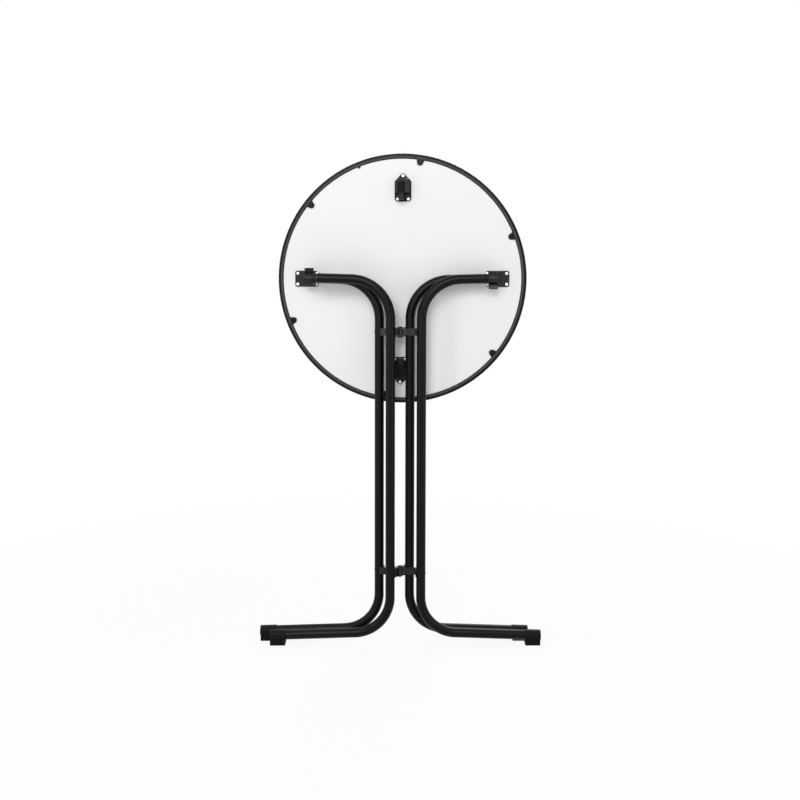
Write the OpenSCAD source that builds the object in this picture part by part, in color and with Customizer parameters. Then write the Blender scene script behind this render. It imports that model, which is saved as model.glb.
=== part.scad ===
// Folding bar table, stowed: a round top hangs upright behind two nested tube frames.
// The origin is on the floor, midway between the front and the back of the stowed table.
// X runs along the hinge axis of the top, Z points up, and the top hangs on the +Y side.

/* [Top] */
// Diameter over the edge band
top_d = 700; // [660:10:760]
// Thickness of the board
board_t = 16; // [14:1:22]
// Width of the edge band on the underside
band_w = 15.5; // [14:0.5:18]
// How far the edge band stands proud of the underside
band_under = 3; // [2:0.5:4]
// Wall of the edge band outside the board's rim
band_wall = 5; // [4:0.5:7]
// Depth of the band's tongue in the board's rim
band_tongue = 8; // [5:0.5:12]
// Thickness of the band's tongue
band_tongue_t = 3; // [2:0.25:4]
// Radius of the rounded corners of the edge band
band_round = 5; // [3:0.5:6]
// Radius of a round lug inside the edge band
lug_r = 8.5; // [6:0.5:10]
// Number of lugs
lug_count = 6; // [4:1:8]
// Direction of the first lug in degrees
lug_turn = 21; // [0:1:30]

/* [Stand] */
// Height of the hinge axis above the floor
axis_h = 1018; // [980:1:1080]
// Outside diameter of the tubes
tube_d = 26; // [25:0.5:28]
// Wall of the tubes
tube_wall = 1.5; // [1:0.1:2]
// Clear width between the two inner uprights
middle_gap = 28; // [27:0.5:32]
// Clear width between an inner and an outer upright
side_gap = 5.5; // [5:0.5:8]
// Radius of the upper bends, on the tube's centre line
top_bend = 110; // [90:5:120]
// Radius of the lower bends, on the tube's centre line
foot_bend = 100; // [80:5:120]
// Rise of the arms towards their ends in degrees
arm_rise = 1.5; // [0.5:0.25:2.5]
// Fall of the feet towards their ends in degrees
foot_fall = 1.75; // [1:0.25:3]
// Distance from an upright's centre line to the end of its foot
foot_reach = 334; // [300:2:360]
// Distance from the rim of the top in to the middle of a hinge eye
journal_x = 95; // [88:1:105]

/* [Feet and plugs] */
// Length of a foot cap
cap_len = 44; // [36:1:52]
// Wall of a foot cap round the tube
cap_wall = 1.5; // [1.2:0.1:2.4]
// Height of a foot cap, from the floor to its crown
cap_h = 39; // [36:0.5:52]
// Width of the pad under a foot cap
pad_w = 28; // [22:0.5:29]
// Radius of a journal in its hinge eye
journal_r = 8.5; // [7:0.5:11]
// Length of a plug inside its tube
spigot_len = 28; // [20:1:36]
// Thickness of the head of an arm plug
head_t = 6; // [4:0.5:8]

/* [Brackets] */
// Height of the upper bracket below the hinge axis
upper_drop = 148; // [140:2:200]
// Height of the lower bracket above the floor
lower_h = 200; // [180:2:260]
// Thickness of the bracket steel
strap_t = 2.5; // [2:0.25:3]
// Height of the outer bracket's strip
strap_h = 20.5; // [18:0.5:26]
// Clearance of the strip to the tubes that pass it
strap_gap = 0.75; // [0.5:0.25:1.5]
// Height of the strip's tongue between the cheeks
tongue_h = 19; // [12:0.5:22]
// Width of a cheek of the inner bracket
cheek_w = 13; // [11:0.5:14]
// Radius of the pivot pin
pin_r = 4; // [3:0.25:5]
// Radius of a rivet
rivet_r = 2.5; // [2:0.25:3]

/* [Hinge fittings] */
// Length of a hinge eye along the hinge axis
eye_len = 25; // [18:1:27]
// Wall of a hinge eye
eye_wall = 3; // [2.5:0.25:5]
// Gap between the stowed top and the inner arms
top_gap = 3.2; // [2.5:0.1:5]
// Thickness of a fitting's plate
plate_t = 3; // [2:0.25:3.5]
// Width of a hinge plate
hinge_plate_w = 45; // [42:0.5:50]
// Reach of a hinge plate outwards from the middle of its eye
hinge_plate_out = 46; // [42:1:54]
// Reach of a hinge plate inwards from the middle of its eye
hinge_plate_in = 21.5; // [18:0.5:23]
// Reach of a fitting's lip from the hinge axis
lip_reach = 29; // [26:0.5:32]

/* [Latches] */
// Width of a latch plate
latch_w = 46.5; // [42:0.5:49]
// Length of a latch plate from its straight edge to its point
latch_l = 78; // [72:1:88]
// Lap of the upper latch plate under the opened arm
latch_lap = 16; // [14:0.5:20]
// Lap of the lower latch plate under the opened arm
lower_latch_lap = 12; // [10:0.5:20]
// Distance of a latch plate's middle from the top's middle line
latch_shift = 3.6; // [2:0.2:5]
// Height of the low jaw of a latch
low_jaw_h = 16; // [14:0.5:18]
// Height of the high jaw of a latch
high_jaw_h = 22; // [19:0.5:26]
// Width of the tongue of a latch
tongue_w = 12.4; // [10:0.2:13]

/* [Screws] */
// Radius of a wood screw's shank
screw_r = 2; // [1.5:0.25:2.5]
// Radius of a wood screw's head
screw_head_r = 4.6; // [3.4:0.1:5]
// Height of a wood screw's head
screw_head_h = 2.2; // [1.5:0.1:3]
// Depth of a wood screw in the board
screw_depth = 11; // [8:0.5:12]

/* [Hidden] */
$fn = 72;

// Clearance between seated pieces of one body
seat_gap = 0.05;
// Radial clearance of the pivot pin in the strip's knuckle
pin_gap = 0.1;
// How far a cut runs past the surface that it opens
over = 1;
// Turn of an upright's seam away from the rivet holes
seam_turn = 45;
// How much fuller a bend is than the straight runs that enter it, on the radius
bend_swell = 0.2;

// How far a screw's head stays clear of the walls beside it
screw_clear = 0.4;

// Place of the hinges, from the rim of the top
top_r = top_d / 2;
eye_x = top_r - journal_x;

// Tubes
tube_r = tube_d / 2;
bore_r = tube_r - tube_wall;
plane_gap = tube_d + strap_t + 2 * strap_gap;
plane_y = plane_gap / 2;
inner_x = (middle_gap + tube_d) / 2;
outer_x = inner_x + tube_d + side_gap;
skew = atan(plane_y / eye_x);
hinge_x = norm([eye_x, plane_y]);

// Eye, journal and the ends of the arms
eye_tilt = acos(cos(skew) * cos(arm_rise));
eye_face_gap = 0.4;
eye_side_gap = eye_face_gap + tube_r * sin(eye_tilt);
collar_t = 2;
journal_end = 0.5;
outer_tube_end = eye_x - eye_len / 2 - eye_side_gap - collar_t;
arm_end_gap = 1.5;
inner_end = eye_x - hinge_plate_in - arm_end_gap;
inner_tube_end = inner_end - head_t;
plug_step = 0.2;
arm_plug_r = tube_r + plug_step;
arm_line_z = axis_h - (eye_x - outer_x) * tan(arm_rise);
eye_play = 0.08;
eye_bore_r = journal_r + eye_play;
eye_r = eye_bore_r + eye_wall;
hinge_h = inner_end * sin(skew) + plane_y * cos(skew) + tube_r + top_gap;

// Feet
cap_r = tube_r + seat_gap + cap_wall;
foot_axis_h = cap_h - cap_r;
foot_line_z = foot_axis_h + (foot_reach - cap_len / 2) * tan(foot_fall);
cap_end_t = 2.5;
pad_round = 2.5;
pad_inset = 1;

// Place of the hinge axis between the front and the back of the stowed table
front_y = (inner_x + foot_reach) * sin(skew) + (plane_y + cap_r) * cos(skew);
back_y = hinge_h + board_t;
axis_y = (front_y - back_y) / 2;

// Top
board_r = top_r - band_wall;
band_in_r = top_r - band_w;
lug_in = 6.5;
lug_base = 13;
nub_r = 4;
nub_turn = 90;

// Brackets
upper_z = axis_h - upper_drop;
lower_z = lower_h;
knuckle_wall = 3;
knuckle_r = pin_r + knuckle_wall;
cheek_gap = 0.5;
cheek_z = tongue_h / 2 + cheek_gap;
cheek_rim = 1.5;
wall_rim = 0.5;
roll_r = 2.4;
cheek_boss_r = cheek_w / 2 + cheek_rim;
cheek_turn = atan2(plane_y, inner_x);
strip_start = (cheek_w / 2 + strap_t * cos(cheek_turn)) / sin(cheek_turn);
strip_stop = 4.5;
strip_end = outer_x - strip_stop;
strip_y = tube_r - plane_y + seat_gap;
saddle_from = 95;
saddle_sweep = 105;
wall_from = 172;
wall_sweep = 66;
pin_rim = 2.5;
pin_head_r = pin_r + pin_rim;
pin_head_h = 2.5;
rivet_rim = 2;
rivet_head_r = rivet_r + rivet_rim;
rivet_head_h = 2;
rivet_set_rim = 1;
rivet_set_h = 0.6;

// Hinge fittings
plate_round = 6;
plate_chamfer = 5.5;
block_w = 20;
lip_t = 3;
lip_drop = 14;
lip_flare = 8;
shoulder_drop = 14;
shoulder_dip = 7;
leg_gap = 2;
leg_t = 3.5;
leg_dip = 1;
leg_y = eye_r + leg_gap;
pocket_w = 13;
pocket_web = 4;
hinge_screw_out = hinge_plate_out - 7.5;
hinge_screw_in = 5.5 - hinge_plate_in;
hinge_screw_wide = hinge_plate_w / 2 - 7.3;
hinge_screw_places = [
  [hinge_screw_out, hinge_screw_wide], [hinge_screw_out, -hinge_screw_wide],
  [hinge_screw_in, hinge_screw_wide], [hinge_screw_in, -hinge_screw_wide]
];

// Latches
latch_shoulder = 56;
latch_point_r = 6;
latch_corner = 5.5;
arm_plug_rise = arm_line_z + (inner_end - inner_x) * tan(arm_rise) - axis_h;
latch_gap = 0.4;
tongue_tip = hinge_h - arm_plug_rise - arm_plug_r - latch_gap;
tip_len = 16;
tip_start = 3;
tip_w = 15;
tip_bar = 8;
rail_start = 22;
rail_end = 56;
tongue_x = -3.4;
low_jaw_in = 1.6;
low_jaw_w = 8.4;
low_jaw_x = low_jaw_in - latch_w / 2;
high_jaw_in = 4.2;
high_jaw_w = 12.7;
high_jaw_x = latch_w / 2 - high_jaw_in - high_jaw_w;
jaws_w = high_jaw_x + high_jaw_w - low_jaw_x;
bar_w = 4;
ledge_t = 3.5;
ledge_h = 8;
tongue_root = 9;
rib_w = 1.6;
rib_h = 1.8;
rib_gap = 5.3;
latch_screw_x = 14.8;
latch_screw_y = 6.6;
latch_screw_tip = 6.8;
rim_w = 1.4;
rim_h = 1.5;
latch_screw_places = [
  [latch_screw_x, latch_screw_y], [-latch_screw_x, latch_screw_y], [0, latch_l - latch_screw_tip]
];
// Small holes in a latch plate, as shares of its width and length, and their radius
small_hole_shares = [[-0.29, 0.73], [0.22, 0.82]];
small_hole_r = 2;

// Places an outer piece drawn round the pivot at the height of the floor
module on_stand() {
  translate([0, axis_y, 0]) rotate([0, 0, skew]) children();
}

// Places a piece drawn on the underside: X along the hinge axis, Y up, Z away from the board
module on_top() {
  translate([0, axis_y + hinge_h, axis_h]) rotate([90, 0, 0]) children();
}

// Places a piece drawn beside the right one of a pair of uprights
module at_outer(turn) {
  on_stand() rotate([0, 0, turn]) translate([outer_x, -plane_y, 0]) children();
}

module at_inner(turn) {
  on_stand() rotate([0, 0, turn]) translate([inner_x, plane_y, 0]) children();
}

// Places a piece drawn along Z at the end of an arm, at x from its upright
module at_arm(x) {
  translate([x, 0, arm_line_z + x * tan(arm_rise)]) rotate([0, 90 - arm_rise, 0]) children();
}

// Places a piece drawn along Z on a foot, at x from its upright
module at_foot(x) {
  translate([x, 0, foot_line_z - x * tan(foot_fall)]) rotate([0, 90 + foot_fall, 0]) children();
}

// Solid rod along the centre line of a bent tube, with its ends run on by extra
module bent_rod(r, arm_x, foot_x, extra) {
  high = arm_line_z - top_bend * cos(arm_rise) + top_bend * (1 - sin(arm_rise)) * tan(arm_rise);
  low = foot_line_z + foot_bend * cos(foot_fall) - foot_bend * (1 - sin(foot_fall)) * tan(foot_fall);
  arm_bend_x = top_bend * (1 - sin(arm_rise));
  foot_bend_x = foot_bend * (1 - sin(foot_fall));
  translate([0, 0, low - over]) rotate([0, 0, seam_turn])
    cylinder(r = r, h = high - low + 2 * over);
  translate([top_bend, 0, high]) rotate([90, 0, 0]) rotate([0, 0, 90 + arm_rise])
    rotate_extrude(angle = 90 - arm_rise) translate([top_bend, 0]) circle(r = r + bend_swell);
  translate([foot_bend, 0, low]) rotate([90, 0, 0]) rotate([0, 0, 180])
    rotate_extrude(angle = 90 - foot_fall) translate([foot_bend, 0]) circle(r = r + bend_swell);
  at_arm(arm_bend_x) translate([0, 0, -over])
    cylinder(r = r, h = (arm_x - arm_bend_x) / cos(arm_rise) + over + extra);
  at_foot(foot_bend_x) translate([0, 0, -over])
    cylinder(r = r, h = (foot_x - foot_bend_x) / cos(foot_fall) + over + extra);
}

module bent_tube(arm_x) {
  foot_x = foot_reach - cap_end_t;
  difference() {
    bent_rod(tube_r, arm_x, foot_x, 0);
    bent_rod(bore_r, arm_x, foot_x, over);
    for (z = [upper_z, lower_z])
      translate([0, 0, z]) rotate([0, 90, 0])
        cylinder(r = rivet_r + seat_gap, h = 2 * (tube_r + over), center = true);
  }
}

module outer_tube(turn) {
  color("#1d1e20") at_outer(turn) bent_tube(outer_tube_end - outer_x);
}

module inner_tube(turn) {
  color("#242528") at_inner(turn) bent_tube(inner_tube_end - inner_x);
}

// Sleeve over the end of a foot, with a flat pad down to the floor
module foot_cap() {
  color("#101112") difference() {
    union() {
      at_foot(foot_reach - cap_len) cylinder(r = cap_r, h = cap_len / cos(foot_fall));
      linear_extrude(foot_axis_h) translate([foot_reach - cap_len / 2, 0])
        rounded_square(cap_len - 2 * pad_inset, pad_w, pad_round);
    }
    at_foot(foot_reach - cap_len - over)
      cylinder(r = tube_r + seat_gap, h = (cap_len - cap_end_t) / cos(foot_fall) + over);
  }
}

// Places a piece drawn along Z on the hinge axis, from the middle of the right eye
module at_eye() {
  translate([eye_x - outer_x, 0, axis_h]) rotate([0, 0, -skew]) rotate([0, 90, 0]) children();
}

// Plug of an outer arm: spigot in the tube, collar against its end, journal in the hinge eye
module journal_plug() {
  journal_start = eye_len / 2 + eye_side_gap + collar_t + over;
  color("#151617") {
    at_arm(outer_tube_end - outer_x) {
      translate([0, 0, -spigot_len]) cylinder(r = bore_r - seat_gap, h = spigot_len);
      cylinder(r = tube_r, h = collar_t);
    }
    at_eye() translate([0, 0, -journal_start])
      cylinder(r = journal_r, h = journal_start + eye_len / 2 + journal_end);
  }
}

// Plug of an inner arm: spigot in the tube and a chamfered head
module arm_plug() {
  chamfer = head_t / 4;
  color("#151617") at_arm(inner_tube_end - inner_x) {
    translate([0, 0, -spigot_len]) cylinder(r = bore_r - seat_gap, h = spigot_len);
    cylinder(r = arm_plug_r, h = head_t - chamfer);
    translate([0, 0, head_t - chamfer])
      cylinder(r1 = arm_plug_r, r2 = arm_plug_r - chamfer, h = chamfer);
  }
}

// Half of the outer bracket: tongue, strip with a rolled edge, saddle on the upright
module strip_half() {
  translate([0, strip_y, -tongue_h / 2]) cube([strip_start + over, strap_t, tongue_h]);
  translate([strip_start, strip_y, -strap_h / 2])
    cube([strip_end - strip_start, strap_t, strap_h]);
  translate([strip_start + roll_r, strip_y + strap_t / 2, 0])
    cylinder(r = roll_r, h = strap_h, center = true);
  translate([outer_x, -plane_y, -strap_h / 2]) rotate([0, 0, saddle_from])
    rotate_extrude(angle = saddle_sweep) translate([tube_r + seat_gap, 0])
      square([strap_t, strap_h]);
}

module outer_bracket(z) {
  color("#191a1c") on_stand() translate([0, 0, z]) difference() {
    union() {
      cylinder(r = knuckle_r, h = tongue_h, center = true);
      strip_half();
      rotate([0, 0, 180]) strip_half();
    }
    cylinder(r = pin_r + pin_gap, h = tongue_h + 2 * over, center = true);
    for (side = [-1, 1])
      translate([0, -side * plane_y, 0]) rotate([0, side * 90, 0])
        cylinder(r = rivet_r + seat_gap, h = outer_x);
  }
}

// Flat outline of a cheek, hollowed where it meets the uprights
module cheek_outline() {
  reach = norm([inner_x, plane_y]);
  difference() {
    union() {
      rotate(cheek_turn) square([2 * reach, cheek_w], center = true);
      circle(r = cheek_boss_r);
    }
    for (side = [-1, 1])
      translate(side * [inner_x, plane_y]) circle(r = tube_r + seat_gap + strap_t / 2);
  }
}

module inner_bracket(z) {
  half_h = cheek_z + strap_t;
  wall_h = 2 * (half_h + wall_rim);
  color("#1b1c1e") on_stand() translate([0, 0, z]) difference() {
    union() {
      for (base = [cheek_z, -half_h])
        translate([0, 0, base]) linear_extrude(strap_t) cheek_outline();
      for (turn = [0, 180])
        rotate([0, 0, turn]) translate([inner_x, plane_y, -wall_h / 2]) rotate([0, 0, wall_from])
          rotate_extrude(angle = wall_sweep) translate([tube_r + seat_gap, 0])
            square([strap_t, wall_h]);
    }
    cylinder(r = pin_r + seat_gap, h = wall_h + 2 * over, center = true);
    for (side = [-1, 1])
      translate([0, side * plane_y, 0]) rotate([0, side * 90, 0])
        cylinder(r = rivet_r + seat_gap, h = inner_x);
  }
}

// Pin through both cheeks and the knuckle, headed over at both ends
module pivot_pin(z) {
  half_h = cheek_z + strap_t;
  color("#2c2d30") on_stand() translate([0, 0, z]) {
    cylinder(r = pin_r, h = 2 * half_h, center = true);
    for (flip = [0, 180])
      rotate([flip, 0, 0]) translate([0, 0, half_h])
        cylinder(r1 = pin_head_r, r2 = pin_head_r - pin_head_h / 2, h = pin_head_h);
  }
}

// Rivet along X through an upright and a saddle on the pivot's side of it, set low on the far side
module rivet() {
  near = tube_r + seat_gap + strap_t;
  translate([-near, 0, 0]) rotate([0, 90, 0]) cylinder(r = rivet_r, h = near + tube_r);
  translate([-near, 0, 0]) rotate([0, -90, 0])
    cylinder(r1 = rivet_head_r, r2 = rivet_head_r - rivet_head_h / 2, h = rivet_head_h);
  translate([tube_r, 0, 0]) rotate([0, 90, 0])
    cylinder(r1 = rivet_r + rivet_set_rim, r2 = rivet_r, h = rivet_set_h);
}

module outer_rivets() {
  color("#2c2d30")
    for (z = [upper_z, lower_z], turn = [0, 180])
      at_outer(turn) translate([0, 0, z]) rivet();
}

module inner_rivets() {
  color("#2c2d30")
    for (z = [upper_z, lower_z], turn = [0, 180])
      at_inner(turn) translate([0, 0, z]) rivet();
}

// Rectangle with round corners, centred
module rounded_square(w, d, r) {
  square([w - 2 * r, d], center = true);
  square([w, d - 2 * r], center = true);
  for (x = [-1, 1], y = [-1, 1])
    translate([x * (w / 2 - r), y * (d / 2 - r)]) circle(r = r);
}

module board() {
  color("#f0efed") on_top() difference() {
    translate([0, 0, -board_t]) cylinder(r = board_r, h = board_t);
    rotate_extrude() band_tongue_section(seat_gap);
    at_hinge_screws() pilot_hole();
    at_latch_screws() pilot_hole();
  }
}

module pilot_hole() {
  translate([0, 0, -screw_depth - over]) cylinder(r = screw_r + seat_gap, h = screw_depth + 2 * over);
}

// Section of the tongue that holds the band in the board's rim, fuller by grow for its groove
module band_tongue_section(grow) {
  translate([board_r - band_tongue - grow, -(board_t + band_tongue_t) / 2 - grow])
    square([band_tongue + grow + over, band_tongue_t + 2 * grow]);
}

// Round band, flush with the upper face, with a flange under the board and lugs inside it
module edge_band() {
  height = band_under + board_t;
  color("#141517") on_top() {
    rotate_extrude() {
      difference() {
        translate([top_r - band_w / 2, band_under - height / 2])
          rounded_square(band_w, height, band_round);
        translate([band_in_r - over, -board_t - over])
          square([board_r + seat_gap - band_in_r + over, board_t + over + seat_gap]);
      }
      band_tongue_section(0);
    }
    for (i = [0 : lug_count - 1])
      rotate(lug_turn + i * 360 / lug_count) lug(lug_r, band_in_r - lug_in, lug_base);
    rotate(lug_turn + nub_turn) lug(nub_r, band_in_r, nub_r * 1.5);
  }
}

// Round lug with a flared root in the flange
module lug(r, centre, base) {
  translate([0, 0, seat_gap]) {
    translate([centre, 0, 0]) cylinder(r = r, h = band_under);
    linear_extrude(band_under - seat_gap)
      polygon([[centre, r], [band_in_r + band_round, base], [band_in_r + band_round, -base], [centre, -r]]);
  }
}

// Moulded hinge fitting, drawn round the middle of its eye; the plate reaches out along +X
module hinge_fitting() {
  pocket_h = hinge_h - eye_r - 2 * plate_t;
  color("#121314") difference() {
    union() {
      linear_extrude(plate_t) hinge_plate_outline();
      translate([-eye_len / 2, 0, 0]) rotate([90, 0, 90]) linear_extrude(eye_len) hinge_profile();
    }
    translate([0, 0, hinge_h]) rotate([0, 90, 0])
      cylinder(r = eye_bore_r, h = eye_len + 2 * over, center = true);
    for (turn = [0, 180])
      rotate([0, 0, turn]) translate([pocket_web / 2, -pocket_w / 2, 2 * plate_t])
        cube([(eye_len - pocket_web) / 2 + over, pocket_w, pocket_h]);
    for (place = hinge_screw_places) {
      translate([place[0], place[1], -over]) cylinder(r = screw_r + seat_gap, h = plate_t + 2 * over);
      translate([place[0], place[1], plate_t])
        cylinder(r = screw_head_r + screw_clear, h = hinge_h - shoulder_drop - plate_t);
    }
  }
}

module hinge_plate_outline() {
  half = hinge_plate_w / 2;
  polygon([
    [-hinge_plate_in, plate_chamfer - half], [plate_chamfer - hinge_plate_in, -half],
    [hinge_plate_out - plate_round, -half], [hinge_plate_out - plate_round, half],
    [plate_chamfer - hinge_plate_in, half], [-hinge_plate_in, half - plate_chamfer]
  ]);
  translate([hinge_plate_out - 2 * plate_round, 0])
    rounded_square(4 * plate_round, hinge_plate_w, plate_round);
}

// Section of a fitting across the hinge axis: block, eye, wall along the eye and flared lip
module hinge_profile() {
  lip_root = hinge_h - lip_drop;
  lip_end = lip_t / 2 - lip_reach;
  translate([-block_w / 2, 0]) square([block_w, hinge_h]);
  translate([0, hinge_h]) circle(r = eye_r);
  translate([0, hinge_h - shoulder_drop]) square([leg_y + leg_t / 2, shoulder_drop - shoulder_dip]);
  translate([leg_y, 0]) square([leg_t, hinge_h - leg_dip]);
  polygon([
    [0, lip_root], [lip_end, lip_root + lip_flare], [lip_end, lip_root + lip_flare - lip_t], [0, lip_root - lip_t]
  ]);
  translate([lip_end, lip_root + lip_flare - lip_t / 2]) circle(r = lip_t / 2);
}

module at_hinge(turn) {
  rotate([0, 0, turn]) translate([hinge_x, 0, 0]) children();
}

module at_hinge_screws() {
  for (turn = [0, 180], place = hinge_screw_places)
    at_hinge(turn) translate([place[0], place[1], 0]) children();
}

// Dome-headed wood screw, its head seated at height seat
module screw(seat) {
  translate([0, 0, -screw_depth]) cylinder(r = screw_r, h = screw_depth + seat + screw_head_h / 2);
  translate([0, 0, seat + seat_gap])
    cylinder(r1 = screw_head_r, r2 = screw_head_r - screw_head_h / 2, h = screw_head_h);
}

module hinge_screws() {
  color("#c9cbce") on_top() at_hinge_screws() screw(plate_t);
}

// Moulded latch, drawn from the middle of its straight edge; the point is at +Y
module latch() {
  color("#121314") difference() {
    union() {
      linear_extrude(plate_t) latch_outline();
      latch_body();
      for (x = [-latch_screw_x, latch_screw_x])
        translate([x, latch_screw_y, 0]) cylinder(r = screw_head_r + screw_clear + rim_w, h = plate_t + rim_h);
    }
    for (place = latch_screw_places) {
      translate([place[0], place[1], -over]) cylinder(r = screw_r + seat_gap, h = plate_t + 2 * over);
      translate([place[0], place[1], plate_t])
        cylinder(r = screw_head_r + screw_clear, h = high_jaw_h + over);
    }
    for (share = small_hole_shares)
      translate([share[0] * latch_w, share[1] * latch_l, -over])
        cylinder(r = small_hole_r, h = plate_t + 2 * over);
  }
}

module latch_outline() {
  half = latch_w / 2;
  polygon([
    [latch_corner - half, 0], [half - latch_corner, 0], [half, latch_corner],
    [half, latch_shoulder], [latch_point_r, latch_l - latch_point_r * 0.6],
    [-latch_point_r, latch_l - latch_point_r * 0.6], [-half, latch_shoulder], [-half, latch_corner]
  ]);
  translate([0, latch_l - latch_point_r]) circle(r = latch_point_r);
}

// Two jaws, a bar and a low ledge across them, and the ribbed tongue that lies on the opened arm
module latch_body() {
  rail_l = rail_end - rail_start;
  translate([low_jaw_x, rail_start, 0]) cube([low_jaw_w, rail_l, low_jaw_h]);
  translate([high_jaw_x, rail_start, 0]) cube([high_jaw_w, rail_l, high_jaw_h]);
  translate([low_jaw_x, rail_start - over, 0]) cube([jaws_w, bar_w, low_jaw_h]);
  translate([tongue_x - tip_w / 2, tip_start, 0]) cube([tip_w, tip_bar, tongue_tip]);
  translate([low_jaw_x, rail_end - ledge_t, 0]) cube([jaws_w, ledge_t, ledge_h]);
  translate([tongue_x + tongue_w / 2, 0, 0]) rotate([0, -90, 0]) linear_extrude(tongue_w)
    polygon([
      [0, tip_start], [tongue_tip, tip_start], [tongue_tip, tip_start + tip_len],
      [tongue_root, rail_end], [0, rail_end]
    ]);
  for (side = [-1, 1])
    translate([tongue_x + side * rib_gap / 2 + rib_w / 2, 0, 0]) rotate([0, -90, 0])
      linear_extrude(rib_w)
        polygon([
          [tongue_tip - over, tip_start + tip_len], [tongue_tip, tip_start + tip_len],
          [tongue_root + rib_h, rail_end], [tongue_root - over, rail_end]
        ]);
}

module at_latch(turn) {
  lap = turn == 0 ? latch_lap : lower_latch_lap;
  rotate([0, 0, turn]) translate([latch_shift, inner_end - lap, 0]) children();
}

module at_latch_screws() {
  for (turn = [0, 180], place = latch_screw_places)
    at_latch(turn) translate([place[0], place[1], 0]) children();
}

module latch_screws() {
  color("#c9cbce") on_top() at_latch_screws() screw(plate_t);
}

board();
edge_band();
on_top() at_hinge(180) hinge_fitting();  // hinge_left
on_top() at_hinge(0) hinge_fitting();  // hinge_right
hinge_screws();
on_top() at_latch(0) latch();  // latch_upper
on_top() at_latch(180) latch();  // latch_lower
latch_screws();
outer_tube(180);  // outer_tube_left
outer_tube(0);  // outer_tube_right
inner_tube(180);  // inner_tube_left
inner_tube(0);  // inner_tube_right
at_outer(180) foot_cap();  // outer_foot_cap_left
at_outer(0) foot_cap();  // outer_foot_cap_right
at_inner(180) foot_cap();  // inner_foot_cap_left
at_inner(0) foot_cap();  // inner_foot_cap_right
at_outer(180) journal_plug();  // journal_plug_left
at_outer(0) journal_plug();  // journal_plug_right
at_inner(180) arm_plug();  // arm_plug_left
at_inner(0) arm_plug();  // arm_plug_right
outer_bracket(upper_z);  // outer_bracket_upper
outer_bracket(lower_z);  // outer_bracket_lower
inner_bracket(upper_z);  // inner_bracket_upper
inner_bracket(lower_z);  // inner_bracket_lower
pivot_pin(upper_z);  // pivot_pin_upper
pivot_pin(lower_z);  // pivot_pin_lower
outer_rivets();
inner_rivets();
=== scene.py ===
"""Dresses the folding bar table: finishes, wood screws, studio and camera, in metres in the part's frame."""
import math

import bmesh
import bpy
from mathutils import Matrix, Vector


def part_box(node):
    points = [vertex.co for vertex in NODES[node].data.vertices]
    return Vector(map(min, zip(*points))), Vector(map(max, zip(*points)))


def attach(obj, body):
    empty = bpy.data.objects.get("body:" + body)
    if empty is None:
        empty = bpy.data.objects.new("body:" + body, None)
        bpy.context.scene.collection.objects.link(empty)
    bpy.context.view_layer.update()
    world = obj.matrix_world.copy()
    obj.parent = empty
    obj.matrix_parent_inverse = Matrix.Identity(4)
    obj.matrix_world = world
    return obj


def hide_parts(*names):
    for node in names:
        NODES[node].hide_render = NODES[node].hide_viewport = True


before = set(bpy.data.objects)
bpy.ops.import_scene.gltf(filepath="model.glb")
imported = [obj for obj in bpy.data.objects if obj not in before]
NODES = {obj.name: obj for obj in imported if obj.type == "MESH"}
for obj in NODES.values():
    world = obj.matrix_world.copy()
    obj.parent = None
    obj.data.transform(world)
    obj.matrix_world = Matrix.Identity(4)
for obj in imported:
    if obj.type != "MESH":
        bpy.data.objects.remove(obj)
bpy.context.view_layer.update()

# Colours, as linear values
WHITE = (1.0, 1.0, 1.0, 1.0)
FLOOR_PALE = (0.9, 0.9, 0.9, 1.0)
BOARD_PALE = (0.88, 0.88, 0.876, 1.0)
BOARD_SPECK = (0.6, 0.6, 0.59, 1.0)
COAT_BLACK = (0.0036, 0.0036, 0.0039, 1.0)
MOULDED_BLACK = (0.0046, 0.0046, 0.005, 1.0)
BAND_BLACK = (0.006, 0.006, 0.0064, 1.0)
CAP_BLACK = (0.0038, 0.0038, 0.0041, 1.0)
BLACKENED = (0.0062, 0.0063, 0.0067, 1.0)
# Painted highlight: the grey painted on the band's inner flange in place of the highlight it catches
FLANGE_PAINTED_HIGHLIGHT = (0.064, 0.064, 0.066, 1.0)
ZINC = (0.82, 0.82, 0.83, 1.0)
DUST = (0.33, 0.32, 0.3, 1.0)

# Darker patches, as shares of the colour, and how strongly the laminate's specks show
BOARD_PATCH_SHARE = 0.985
ZINC_PATCH_SHARE = 0.86
SPECK_STRENGTH = 0.035
# A rubbed corner is the black times the gain, plus the lift
RUBBED_GAIN = 3.2
RUBBED_LIFT = 0.01
# Pointiness at which an edge starts to be rubbed, and at which it is rubbed in full
RUBBED_POINTINESS = (0.53, 0.62)
# Upward share of a face's normal at which dust starts to lie
DUST_SLOPE_SHARE = 0.35
# Stretch of the noise over which patches go from low to high
PATCH_NOISE = (0.3, 0.7)
# Waves under the fine grain: their number for each grain, and their height beside it
WAVES_PER_GRAIN = 0.12
WAVE_HEIGHT = 1.6
# The band's inner flange is also painted grey, a painted highlight that stands in for the light it catches
# The band's matt flange: how far in from the rim each of its edges fades, in metres, and its added roughness
FLANGE_INNER_FADE = (0.0148, 0.0118)
FLANGE_OUTER_FADE = (0.0092, 0.0064)
FLANGE_ROUGHER = 0.25

# A Mix node's colour sockets by number, since its value sockets have the same names
MIX_FIRST = 6
MIX_SECOND = 7
MIX_RESULT = 2


# Shader nodes

def add(tree, kind, **settings):
    """A node of that kind with its settings; names that aren't settings are its input sockets."""
    node = tree.nodes.new("ShaderNode" + kind)
    for name, value in settings.items():
        if hasattr(node, name):
            setattr(node, name, value)
        else:
            node.inputs[name.replace("_", " ")].default_value = value
    return node


def feed(tree, source, socket):
    """Feeds an input socket from a node's output, or with a plain number or colour."""
    if isinstance(source, bpy.types.NodeSocket):
        tree.links.new(source, socket)
    else:
        socket.default_value = source


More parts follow.
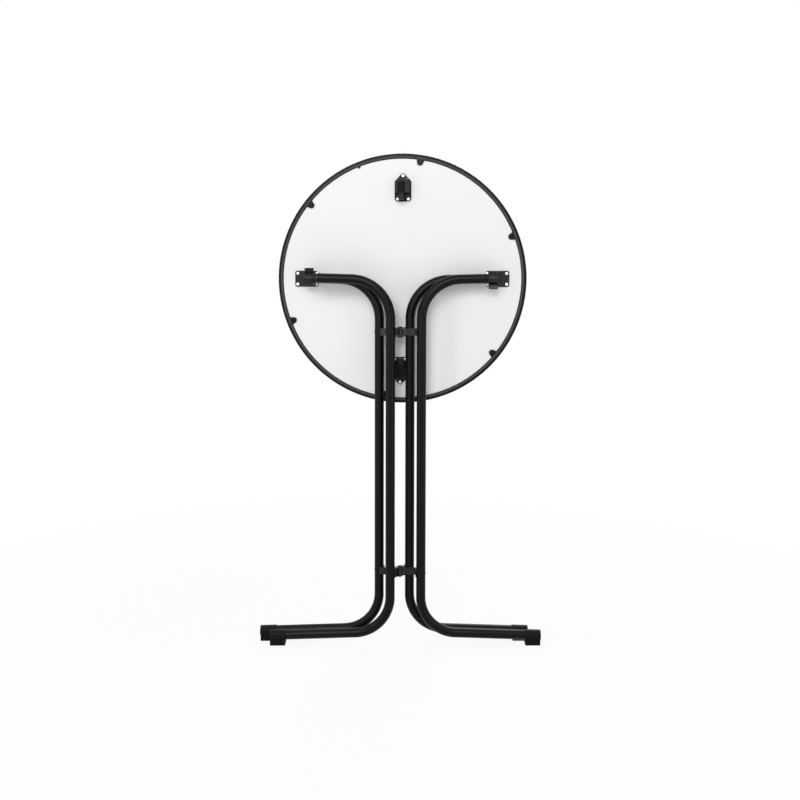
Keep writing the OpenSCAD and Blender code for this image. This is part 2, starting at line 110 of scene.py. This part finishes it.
def math_node(tree, operation, *operands):
    """Result of one operation; each operand is a number or a socket."""
    node = add(tree, "Math", operation=operation)
    for operand, socket in zip(operands, node.inputs):
        feed(tree, operand, socket)
    return node.outputs["Value"]


def ramp(tree, value, start, end, low=0.0, high=1.0, shape="LINEAR"):
    """Goes from low to high while the value goes from start to end, and stays level beyond them."""
    node = add(tree, "MapRange", clamp=True, interpolation_type=shape)
    settings = {"Value": value, "From Min": start, "From Max": end, "To Min": low, "To Max": high}
    for name, source in settings.items():
        feed(tree, source, node.inputs[name])
    return node.outputs["Result"]


def noise(tree, scale, detail, roughness):
    """Noise over the object's own coordinates."""
    node = add(tree, "TexNoise", Detail=detail)
    feed(tree, add(tree, "TexCoord").outputs["Object"], node.inputs["Vector"])
    feed(tree, scale, node.inputs["Scale"])
    feed(tree, roughness, node.inputs["Roughness"])
    return node.outputs["Fac"]


def mixed(tree, mask, first, second):
    """Colour that goes from first to second with the mask; each is a colour or a socket."""
    mix = add(tree, "Mix", data_type="RGBA")
    feed(tree, mask, mix.inputs["Factor"])
    feed(tree, first, mix.inputs[MIX_FIRST])
    feed(tree, second, mix.inputs[MIX_SECOND])
    return mix.outputs[MIX_RESULT]


# Shader node groups

def new_group(name, values, result, kind="Float"):
    """A shader group with its inputs' names and defaults, and one output of that kind."""
    tree = bpy.data.node_groups.new(name, "ShaderNodeTree")
    for label, default in values.items():
        socket = tree.interface.new_socket(label, in_out="INPUT", socket_type="NodeSocketFloat")
        socket.default_value = default
    tree.interface.new_socket(result, in_out="OUTPUT", socket_type="NodeSocket" + kind)
    return tree, tree.nodes.new("NodeGroupInput"), tree.nodes.new("NodeGroupOutput")


def build_fine_grain():
    """Height of a fine pebbled skin over slow waves, as on powder coat or a moulded face."""
    tree, into, out = new_group("fine grain", {"Grains per metre": 900.0, "Softness": 0.5}, "Height")
    grains = noise(tree, into.outputs["Grains per metre"], detail=2.0, roughness=into.outputs["Softness"])
    waves_per_metre = math_node(tree, "MULTIPLY", into.outputs["Grains per metre"], WAVES_PER_GRAIN)
    waves = noise(tree, waves_per_metre, detail=1.0, roughness=0.5)
    feed(tree, math_node(tree, "MULTIPLY_ADD", waves, WAVE_HEIGHT, grains), out.inputs["Height"])
    return tree


def build_soft_corners():
    """Normal of a surface whose corners are rounded by a small radius."""
    tree, into, out = new_group("soft corners", {"Radius": 0.0006}, "Normal", "Vector")
    bevel = add(tree, "Bevel", samples=4)
    feed(tree, into.outputs["Radius"], bevel.inputs["Radius"])
    feed(tree, bevel.outputs["Normal"], out.inputs["Normal"])
    return tree


def build_worn_corners():
    """Mask of raised edges that have been rubbed, broken up by a blotchy noise."""
    tree, into, out = new_group("worn corners", {"Amount": 0.4, "Blotches per metre": 60.0}, "Mask")
    edges = ramp(tree, add(tree, "NewGeometry").outputs["Pointiness"], *RUBBED_POINTINESS)
    blotches = noise(tree, into.outputs["Blotches per metre"], detail=4.0, roughness=0.65)
    broken = math_node(tree, "MULTIPLY", edges, blotches)
    feed(tree, math_node(tree, "MULTIPLY", broken, into.outputs["Amount"]), out.inputs["Mask"])
    return tree


def build_light_dust():
    """Mask of the little dust that lies on faces that look up."""
    tree, into, out = new_group("light dust", {"Amount": 0.05, "Specks per metre": 700.0}, "Mask")
    parts = add(tree, "SeparateXYZ")
    feed(tree, add(tree, "NewGeometry").outputs["Normal"], parts.inputs["Vector"])
    upward = ramp(tree, parts.outputs["Z"], DUST_SLOPE_SHARE, 1.0)
    specks = noise(tree, into.outputs["Specks per metre"], detail=3.0, roughness=0.7)
    spread = math_node(tree, "MULTIPLY", upward, specks)
    feed(tree, math_node(tree, "MULTIPLY", spread, into.outputs["Amount"]), out.inputs["Mask"])
    return tree


def build_patchiness():
    """Slow change over a surface, from low to high, for colour and roughness."""
    tree, into, out = new_group("patchiness", {"Patches per metre": 8.0, "Low": 0.0, "High": 1.0}, "Value")
    slow = noise(tree, into.outputs["Patches per metre"], detail=4.0, roughness=0.55)
    spread = ramp(tree, slow, *PATCH_NOISE, into.outputs["Low"], into.outputs["High"])
    feed(tree, spread, out.inputs["Value"])
    return tree


FINE_GRAIN = build_fine_grain()
SOFT_CORNERS = build_soft_corners()
WORN_CORNERS = build_worn_corners()
LIGHT_DUST = build_light_dust()
PATCHINESS = build_patchiness()


def use(tree, group, **values):
    """The output of a group placed in a material with its own values."""
    node = tree.nodes.new("ShaderNodeGroup")
    node.node_tree = group
    for name, value in values.items():
        node.inputs[name.replace("_", " ")].default_value = value
    return node.outputs[0]


# Materials

def new_material(name):
    mat = bpy.data.materials.new(name)
    mat.use_nodes = True
    return mat, mat.node_tree, mat.node_tree.nodes["Principled BSDF"]


def tinted(colour, gain, lift=0.0):
    """The colour times the gain, plus the lift."""
    return tuple(part * gain + lift for part in colour[:3]) + (1.0,)


def patchy_roughness(tree, shader, low, high, patches):
    """Roughness that changes slowly between low and high, in so many patches to the metre."""
    roughness = use(tree, PATCHINESS, Patches_per_metre=patches, Low=low, High=high)
    feed(tree, roughness, shader.inputs["Roughness"])


def relief(tree, shader, grains, depth, corner):
    """Fine grain of that depth over corners of that radius."""
    bump = add(tree, "Bump", Strength=1.0, Distance=depth)
    feed(tree, use(tree, SOFT_CORNERS, Radius=corner), bump.inputs["Normal"])
    feed(tree, use(tree, FINE_GRAIN, Grains_per_metre=grains), bump.inputs["Height"])
    feed(tree, bump.outputs["Normal"], shader.inputs["Normal"])


def dark_finish(name, colour, roughness, grains, depth, corner, wear=0.5, dust=0.05, sheen=0.13):
    """A black coat or moulding: patchy roughness, pebbled skin, rubbed corners and a trace of dust.

    The roughness is its lowest and highest value, the grains are counted to the metre, and the depth of the
    grain and the radius of the corners are in metres.
    """
    mat, tree, shader = new_material(name)
    rubbed = use(tree, WORN_CORNERS, Amount=wear)
    body = mixed(tree, rubbed, colour, tinted(colour, RUBBED_GAIN, RUBBED_LIFT))
    settled = use(tree, LIGHT_DUST, Amount=dust)
    feed(tree, mixed(tree, settled, body, DUST), shader.inputs["Base Color"])
    patchy_roughness(tree, shader, *roughness, patches=14.0)
    relief(tree, shader, grains, depth, corner)
    shader.inputs["Specular IOR Level"].default_value = sheen
    return mat


def flange_mask(tree):
    """Mask of the flange on the band's inner half, by the distance from the middle of its ring; it carries
    the flange's added roughness and its painted highlight.
    """
    low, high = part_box("edge_band")
    rim = (high[0] - low[0]) / 2
    parts = add(tree, "SeparateXYZ")
    feed(tree, add(tree, "TexCoord").outputs["Object"], parts.inputs["Vector"])
    across = math_node(tree, "SUBTRACT", parts.outputs["X"], (high[0] + low[0]) / 2)
    along = math_node(tree, "SUBTRACT", parts.outputs["Z"], (high[2] + low[2]) / 2)
    squares = [math_node(tree, "MULTIPLY", side, side) for side in (across, along)]
    reach = math_node(tree, "SQRT", math_node(tree, "ADD", *squares))
    inner, outer = (ramp(tree, reach, rim - start, rim - end, shape="SMOOTHSTEP")
                    for start, end in (FLANGE_INNER_FADE, FLANGE_OUTER_FADE))
    return math_node(tree, "MULTIPLY", inner, math_node(tree, "SUBTRACT", 1.0, outer))


def moulded_band():
    """The band's black moulding: a smooth outer roll and a matt flange on its inner half, painted grey as a
    highlight.
    """
    mat = dark_finish("moulded band", BAND_BLACK, roughness=(0.25, 0.33), grains=1900.0, depth=0.000006,
                      corner=0.0009, sheen=0.1)
    tree = mat.node_tree
    shader = tree.nodes["Principled BSDF"]
    matt_and_painted_highlight = flange_mask(tree)
    plain = shader.inputs["Base Color"].links[0].from_socket
    # Painted highlight: the flange's colour goes from the plain black to the grey that stands in for its
    # highlight
    feed(tree, mixed(tree, matt_and_painted_highlight, plain, FLANGE_PAINTED_HIGHLIGHT), shader.inputs["Base Color"])
    smooth = shader.inputs["Roughness"].links[0].from_socket
    rougher = math_node(tree, "MULTIPLY", matt_and_painted_highlight, FLANGE_ROUGHER)
    feed(tree, math_node(tree, "ADD", smooth, rougher), shader.inputs["Roughness"])
    return mat


def pale_laminate():
    """Smooth pale laminate: barely mottled, faintly speckled and pebbled, with a slowly changing sheen."""
    mat, tree, shader = new_material("pale laminate")
    patches = use(tree, PATCHINESS, Patches_per_metre=5.0)
    mottled = mixed(tree, patches, tinted(BOARD_PALE, BOARD_PATCH_SHARE), BOARD_PALE)
    specks = math_node(tree, "MULTIPLY", use(tree, PATCHINESS, Patches_per_metre=520.0), SPECK_STRENGTH)
    feed(tree, mixed(tree, specks, mottled, BOARD_SPECK), shader.inputs["Base Color"])
    patchy_roughness(tree, shader, 0.46, 0.54, patches=9.0)
    relief(tree, shader, grains=700.0, depth=0.00002, corner=0.0005)
    shader.inputs["Specular IOR Level"].default_value = 0.35
    return mat


def bright_zinc():
    """Bright plated steel, finely mottled."""
    mat, tree, shader = new_material("bright zinc")
    shader.inputs["Metallic"].default_value = 1.0
    patches = use(tree, PATCHINESS, Patches_per_metre=420.0)
    feed(tree, mixed(tree, patches, tinted(ZINC, ZINC_PATCH_SHARE), ZINC), shader.inputs["Base Color"])
    patchy_roughness(tree, shader, 0.22, 0.36, patches=900.0)
    relief(tree, shader, grains=3200.0, depth=0.00001, corner=0.0002)
    return mat


COATED_TUBE = dark_finish("coated tube", COAT_BLACK, roughness=(0.22, 0.28), grains=1400.0, depth=0.000004,
                          corner=0.0004, wear=0.3, sheen=0.12)
COATED_STEEL = dark_finish("coated bracket steel", BLACKENED, roughness=(0.17, 0.25), grains=1500.0,
                           depth=0.000004, corner=0.0005, wear=0.8, sheen=0.23)
MOULDED_FITTING = dark_finish("moulded fitting", MOULDED_BLACK, roughness=(0.24, 0.33), grains=2300.0,
                              depth=0.000006, corner=0.0011, wear=0.7, sheen=0.22)
MOULDED_LATCH = dark_finish("moulded latch", MOULDED_BLACK, roughness=(0.26, 0.35), grains=2300.0,
                            depth=0.000006, corner=0.0009, sheen=0.12)
MOULDED_CAP = dark_finish("moulded cap", CAP_BLACK, roughness=(0.34, 0.45), grains=2100.0, depth=0.00001,
                          corner=0.001, wear=0.6, dust=0.03, sheen=0.06)
BLACK_RIVET = dark_finish("blackened rivet", BLACKENED, roughness=(0.22, 0.3), grains=1200.0, depth=0.000006,
                          corner=0.0003, wear=0.9)
MOULDED_BAND = moulded_band()
PALE_LAMINATE = pale_laminate()
BRIGHT_ZINC = bright_zinc()


def dress(material, *names):
    """Gives the material to the nodes of those names."""
    for name in names:
        mesh = NODES[name].data
        mesh.materials.clear()
        mesh.materials.append(material)


dress(PALE_LAMINATE, "board")
dress(MOULDED_BAND, "edge_band")
dress(MOULDED_FITTING, "hinge_left", "hinge_right")
dress(MOULDED_FITTING, "journal_plug_left", "journal_plug_right", "arm_plug_left", "arm_plug_right")
dress(MOULDED_LATCH, "latch_upper", "latch_lower")
dress(COATED_TUBE, "outer_tube_left", "outer_tube_right", "inner_tube_left", "inner_tube_right")
dress(MOULDED_CAP, "outer_foot_cap_left", "outer_foot_cap_right")
dress(MOULDED_CAP, "inner_foot_cap_left", "inner_foot_cap_right")
dress(COATED_STEEL, "outer_bracket_upper", "outer_bracket_lower")
dress(COATED_STEEL, "inner_bracket_upper", "inner_bracket_lower")
dress(BLACK_RIVET, "pivot_pin_upper", "pivot_pin_lower", "outer_rivets", "inner_rivets")
dress(BRIGHT_ZINC, "hinge_screws", "latch_screws")


# Wood screws
# The domed head: its radius, rim and height, and the power that rounds the dome
HEAD_RADIUS = 0.0046
HEAD_RIM = 0.0005
HEAD_HEIGHT = 0.0022
DOME_POWER = 2.6
# The cross recess: reach of its arms, half their width, width of their sloping walls, depth in the middle,
# and how much the floor rises to the ends of the arms
RECESS_REACH = 0.0025
RECESS_HALF_WIDTH = 0.00055
RECESS_WALL = 0.00012
RECESS_DEPTH = 0.0013
RECESS_RISE = 0.0004
# The thread: radii of root and crest, pitch, how steeply the crest falls off, and length of the point
THREAD_ROOT = 0.00145
THREAD_CREST = 0.00198
THREAD_PITCH = 0.0018
THREAD_STEEPNESS = 2.4
THREAD_POINT = 0.0032
# The mesh: radii of the head's rings inside the recess and outside it, steps between two arms of the cross,
# and rings for each turn of the thread
RECESS_RINGS = (0.0011, 0.0017, 0.0022)
DOME_RINGS = (0.0032, 0.0037, 0.0041, 0.0044)
STEPS_BETWEEN_ARMS = 4
RINGS_PER_PITCH = 12
# How far each screw was turned in, in radians: the first, and each next one more
FIRST_TURN = 0.4
NEXT_TURN = 1.1
# Edges sharper than this stay crisp, in degrees
CRISP_ANGLE = 38
# Points closer than this are one when a node's solids are told apart
WELD_DISTANCE = 0.000001


def loose_solids(name):
    """Lowest and highest corner of each separate solid in a node's mesh."""
    shape = bmesh.new()
    shape.from_mesh(NODES[name].data)
    bmesh.ops.remove_doubles(shape, verts=shape.verts, dist=WELD_DISTANCE)
    waiting = set(shape.verts)
    corners = []
    while waiting:
        reached = [waiting.pop()]
        for vert in reached:
            for edge in vert.link_edges:
                other = edge.other_vert(vert)
                if other in waiting:
                    waiting.remove(other)
                    reached.append(other)
        spans = [[vert.co[axis] for vert in reached] for axis in range(3)]
        corners.append((Vector([min(span) for span in spans]), Vector([max(span) for span in spans])))
    shape.free()
    return sorted(corners, key=lambda pair: tuple(pair[0]))


def ring_angles(reach):
    """Angles round the head at that radius, crowded at the walls of the cross, and whether each is in it."""
    half = math.asin(RECESS_HALF_WIDTH / reach)
    wall = math.asin((RECESS_HALF_WIDTH + RECESS_WALL) / reach)
    free = math.pi / 2 - 2 * wall
    angles = []
    for quarter in range(4):
        middle = quarter * math.pi / 2
        angles += [(middle - half, True), (middle + half, True), (middle + wall, False)]
        for step in range(1, STEPS_BETWEEN_ARMS + 1):
            angles.append((middle + wall + free * step / STEPS_BETWEEN_ARMS, False))
    return angles


def head_height(reach, in_cross):
    """Height of the head over its seat: a dome, and within the cross its sloping floor."""
    dome = HEAD_RIM + (HEAD_HEIGHT - HEAD_RIM) * math.sqrt(max(0.0, 1 - (reach / HEAD_RADIUS) ** DOME_POWER))
    if not in_cross or reach > RECESS_REACH:
        return dome
    return min(dome, HEAD_HEIGHT - RECESS_DEPTH + RECESS_RISE * reach / RECESS_REACH)


def head_rings():
    """The head's rings from middle to seat, as each point's radius, angle and height over the seat."""
    rings = []
    for reach in (*RECESS_RINGS, RECESS_REACH, RECESS_REACH + RECESS_WALL, *DOME_RINGS, HEAD_RADIUS):
        angles = ring_angles(reach)
        rings.append([(reach, angle, head_height(reach, in_cross)) for angle, in_cross in angles])
    rings.append([(HEAD_RADIUS, angle, 0.0) for angle, in_cross in ring_angles(HEAD_RADIUS)])
    return rings


def thread_rings(length):
    """The shank's rings from seat to end, in the same terms; the radius follows the winding thread."""
    count = math.ceil(length / THREAD_PITCH * RINGS_PER_PITCH)
    rings = []
    for step in range(1, count + 1):
        depth = length * step / (count + 1)
        narrowing = min(1.0, (length - depth) / THREAD_POINT)
        ring = []
        for angle, in_cross in ring_angles(HEAD_RADIUS):
            phase = depth / THREAD_PITCH - angle / (2 * math.pi)
            crest = max(0.0, 1 - THREAD_STEEPNESS * abs(phase - round(phase)))
            ring.append((narrowing * (THREAD_ROOT + (THREAD_CREST - THREAD_ROOT) * crest), angle, -depth))
        rings.append(ring)
    return rings


def add_screw(shape, seat, tip, middle, turn):
    """One screw along +Y into the board: head towards -Y, seated at y = seat, its point at y = tip."""
    spin = Matrix.Rotation(turn, 3, "Y")

    def point(reach, angle, height):
        spot = spin @ Vector((reach * math.cos(angle), 0, reach * math.sin(angle)))
        return shape.verts.new((middle[0] + spot.x, seat - height, middle[1] + spot.z))

    rings = [[point(*spot) for spot in ring] for ring in head_rings() + thread_rings(tip - seat)]
    recess_floor = point(0.0, 0.0, head_height(0.0, True))
    end = point(0.0, 0.0, seat - tip)
    count = len(rings[0])
    for near, far in zip(rings, rings[1:]):
        for k in range(count):
            shape.faces.new((near[k], near[(k + 1) % count], far[(k + 1) % count], far[k]))
    for k in range(count):
        shape.faces.new((recess_floor, rings[0][(k + 1) % count], rings[0][k]))
        shape.faces.new((end, rings[-1][k], rings[-1][(k + 1) % count]))


def fit_screws(name, piece_name):
    """Screws with domed heads and a cross recess where the node has its plain ones."""
    shape = bmesh.new()
    for index, (low, high) in enumerate(loose_solids(name)):
        middle = ((low.x + high.x) / 2, (low.z + high.z) / 2)
        add_screw(shape, low.y + HEAD_HEIGHT, high.y, middle, FIRST_TURN + NEXT_TURN * index)
    bmesh.ops.recalc_face_normals(shape, faces=shape.faces)
    mesh = bpy.data.meshes.new(piece_name)
    shape.to_mesh(mesh)
    shape.free()
    for face in mesh.polygons:
        face.use_smooth = True
    mesh.set_sharp_from_angle(angle=math.radians(CRISP_ANGLE))
    mesh.materials.append(BRIGHT_ZINC)
    piece = bpy.data.objects.new(piece_name, mesh)
    bpy.context.scene.collection.objects.link(piece)
    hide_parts(name)
    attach(piece, "table_top")


fit_screws("hinge_screws", "hinge_wood_screws")
fit_screws("latch_screws", "latch_wood_screws")


# Studio
# The floor's half side, and its veil of white: its share near the table, where the shadow shows, and the
# distances at which that share starts to grow and is full
FLOOR_HALF = 14.0
FLOOR_VEIL_SHARE = 0.92
FLOOR_NEAR = 0.5
FLOOR_FAR = 2.2
# Strength of the surroundings as a light on the table
WORLD_LIGHT = 0.28

# Soft lamps: name, place, aim, width and height in metres, and power in watts
LAMPS = (
    ("overhead soft box", (-0.1, -1.9, 1.98), (-0.05, 0.0, 0.95), (1.45, 0.8), 21.0),
    ("front lamp", (-1.2, -2.6, 2.3), (0.0, 0.0, 0.9), (2.0, 2.0), 5.0),
    ("lamp behind the camera", (-0.2, -2.7, 1.15), (0.0, 0.0, 1.0), (0.9, 0.9), 7.0),
    ("left strip", (-1.25, -1.0, 0.66), (0.0, 0.0, 0.66), (0.18, 1.25), 3.0),
    ("right strip", (1.5, -1.0, 0.66), (0.0, 0.0, 0.66), (0.18, 1.25), 3.0),
    ("rear lamp", (0.6, 2.6, 2.6), (0.0, 0.0, 0.8), (2.2, 1.8), 62.0),
)

# The photo's camera: image side, focal length and middle of the view in pixels, place in metres, angles in
# degrees, and sensor width in millimetres
PHOTO_SIDE = 800.0
PHOTO_FOCAL = 763.8
PHOTO_MIDDLE = (413.8, 335.2)
CAMERA_PLACE = (0.146, -2.11, 0.953)
CAMERA_TURN = 2.958
CAMERA_DIP = 2.489
CAMERA_LEAN = 0.164
SENSOR_WIDTH = 36.0


def seen_directly(tree):
    """1 for rays from the camera, off gloss or through glass, and 0 for those that light the table."""
    rays = add(tree, "LightPath")
    seen = math_node(tree, "MAXIMUM", rays.outputs["Is Camera Ray"], rays.outputs["Is Transmission Ray"])
    return math_node(tree, "MAXIMUM", seen, rays.outputs["Is Glossy Ray"])


def mix_shaders(tree, share, first, second, out):
    """Puts out two shaders mixed: the first where the share is 0, the second where it is 1."""
    mix = add(tree, "MixShader")
    for source, socket in zip((share, first, second), mix.inputs):
        feed(tree, source, socket)
    feed(tree, mix.outputs["Shader"], out.inputs["Surface"])


def studio_floor():
    """A pale floor that keeps the table's shadow and is seen through a veil of white."""
    mesh = bpy.data.meshes.new("studio floor")
    corners = [(x * FLOOR_HALF, y * FLOOR_HALF, 0) for x, y in ((-1, -1), (1, -1), (1, 1), (-1, 1))]
    mesh.from_pydata(corners, [], [(0, 1, 2, 3)])
    floor = bpy.data.objects.new("studio_floor", mesh)
    bpy.context.scene.collection.objects.link(floor)
    mat, tree, shader = new_material("pale floor")
    shader.inputs["Base Color"].default_value = FLOOR_PALE
    shader.inputs["Roughness"].default_value = 0.9
    shader.inputs["Specular IOR Level"].default_value = 0.1
    away = add(tree, "VectorMath", operation="LENGTH")
    feed(tree, add(tree, "TexCoord").outputs["Object"], away.inputs[0])
    share = ramp(tree, away.outputs["Value"], FLOOR_NEAR, FLOOR_FAR, FLOOR_VEIL_SHARE, shape="SMOOTHSTEP")
    veil = math_node(tree, "MULTIPLY", seen_directly(tree), share)
    glow = add(tree, "Emission", Color=WHITE, Strength=1.0)
    mix_shaders(tree, veil, shader.outputs["BSDF"], glow.outputs["Emission"], tree.nodes["Material Output"])
    mesh.materials.append(mat)


def studio_world():
    """Surroundings that are white where they are seen and a lower, even light on the table."""
    world = bpy.data.worlds.new("studio")
    bpy.context.scene.world = world
    world.use_nodes = True
    tree = world.node_tree
    tree.nodes.clear()
    light = add(tree, "Background", Color=WHITE, Strength=WORLD_LIGHT)
    white = add(tree, "Background", Color=WHITE, Strength=1.0)
    mix_shaders(tree, seen_directly(tree), light.outputs["Background"], white.outputs["Background"],
                add(tree, "OutputWorld"))


def soft_lamp(name, place, aim, size, power):
    data = bpy.data.lights.new(name, "AREA")
    data.shape = "RECTANGLE"
    data.size, data.size_y = size
    data.energy = power
    lamp = bpy.data.objects.new(name, data)
    lamp.location = place
    lamp.rotation_euler = (Vector(aim) - Vector(place)).to_track_quat("-Z", "Y").to_euler()
    bpy.context.scene.collection.objects.link(lamp)


def photo_camera():
    """The photo's own view: lens and shift from its pixels, then the turn aside, the dip and the lean."""
    data = bpy.data.cameras.new("photo camera")
    data.sensor_width = SENSOR_WIDTH
    data.lens = SENSOR_WIDTH * PHOTO_FOCAL / PHOTO_SIDE
    data.shift_x = (PHOTO_SIDE / 2 - PHOTO_MIDDLE[0]) / PHOTO_SIDE
    data.shift_y = (PHOTO_MIDDLE[1] - PHOTO_SIDE / 2) / PHOTO_SIDE
    camera = bpy.data.objects.new("photo_camera", data)
    camera.location = CAMERA_PLACE
    turn = Matrix.Rotation(math.radians(CAMERA_TURN), 3, "Z")
    level = Matrix.Rotation(math.radians(90 - CAMERA_DIP), 3, "X")
    lean = Matrix.Rotation(math.radians(CAMERA_LEAN), 3, "Z")
    camera.rotation_euler = (turn @ level @ lean).to_euler()
    bpy.context.scene.collection.objects.link(camera)
    bpy.context.scene.camera = camera


studio_floor()
studio_world()
for lamp in LAMPS:
    soft_lamp(*lamp)
photo_camera()
bpy.context.scene.view_settings.view_transform = "Standard"
